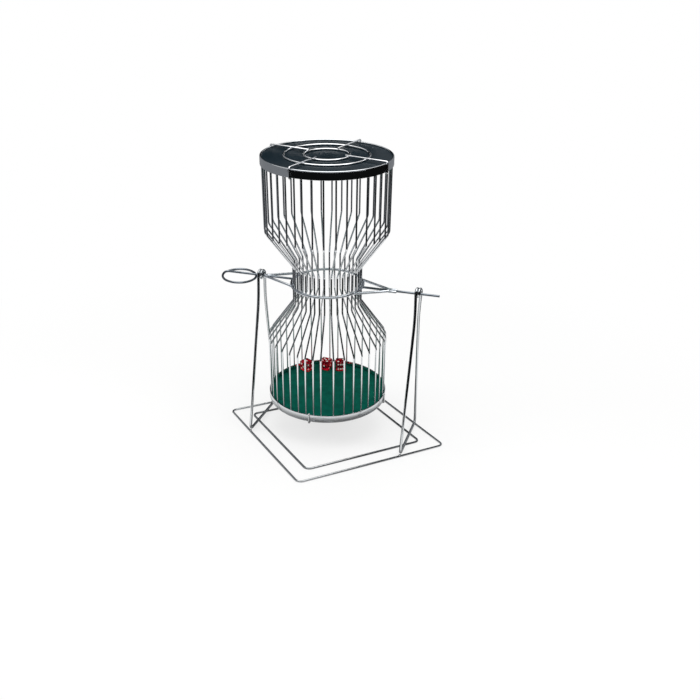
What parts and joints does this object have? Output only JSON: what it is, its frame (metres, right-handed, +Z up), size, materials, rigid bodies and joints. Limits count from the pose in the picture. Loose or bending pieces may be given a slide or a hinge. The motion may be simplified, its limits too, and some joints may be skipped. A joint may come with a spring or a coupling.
{
  "type": "chuck a luck cage",
  "caption": "hourglass wire cage with felt-lined drum ends and dice inside, turned end over end on an axle in a wire stand with a loop handle",
  "frame": {"origin": "middle of the stand's base, on the floor", "axes": "+X along the axle from the handle to the free end, +Y to the back of the stand, +Z up"},
  "size_m": [0.426, 0.42, 0.5239],
  "materials": {
    "wire": "bright chrome plated wire",
    "stand_wire": "bright chrome plated wire",
    "band": "bright chrome plated strip",
    "drumhead": "black, satin",
    "felt": "dark green felt",
    "die": "clear red, polished",
    "pip": "white inlay"
  },
  "bodies": {
    "stand": {"base_outer_loop": "stand_wire", "base_inner_loop": "stand_wire", "left_upright": "stand_wire", "right_upright": "stand_wire"},
    "cage": {"upper_band": "band", "upper_drumhead": "drumhead", "upper_felt": "felt", "upper_outer_ring": "wire", "upper_inner_ring": "wire", "lower_band": "band", "lower_drumhead": "drumhead", "lower_felt": "felt", "lower_outer_ring": "wire", "lower_inner_ring": "wire", "upper_spoke_1": "wire", "upper_spoke_2": "wire", "upper_spoke_3": "wire", "upper_spoke_4": "wire", "lower_spoke_1": "wire", "lower_spoke_2": "wire", "lower_spoke_3": "wire", "lower_spoke_4": "wire", "waist_ring": "wire", "handle_rod": "wire", "free_rod": "wire", "front_left_strut": "wire", "front_right_strut": "wire", "back_left_strut": "wire", "back_right_strut": "wire", "cage_wires_1": "wire", "cage_wires_2": "wire", "cage_wires_3": "wire", "cage_wires_4": "wire", "cage_wires_5": "wire", "cage_wires_6": "wire", "cage_wires_7": "wire", "cage_wires_8": "wire", "cage_wires_9": "wire", "cage_wires_10": "wire", "cage_wires_11": "wire", "cage_wires_12": "wire", "cage_wires_13": "wire", "cage_wires_14": "wire", "cage_wires_15": "wire", "cage_wires_16": "wire", "cage_wires_17": "wire", "cage_wires_18": "wire", "cage_wires_19": "wire"},
    "die_1": {"die_1": "die", "die_1_pips": "pip"},
    "die_2": {"die_2": "die", "die_2_pips": "pip"},
    "die_3": {"die_3": "die", "die_3_pips": "pip"}
  },
  "joints": [
    {"name": "cage_spin", "type": "hinge", "parent": "stand", "child": "cage", "pos_m": [-0.02, 0, 0.2875], "axis": [1, 0, 0], "continuous": true},
    {"name": "die_1_tumble", "type": "slide", "parent": "cage", "child": "die_1", "axis": [0.1295, -0.3713, 0.9194], "range_m": [0, 0.44]},
    {"name": "die_2_tumble", "type": "slide", "parent": "cage", "child": "die_2", "axis": [0.1021, -0.4403, 0.892], "range_m": [0, 0.4503]},
    {"name": "die_3_tumble", "type": "slide", "parent": "cage", "child": "die_3", "axis": [0.0977, -0.4405, 0.8924], "range_m": [0, 0.4501]}
  ]
}
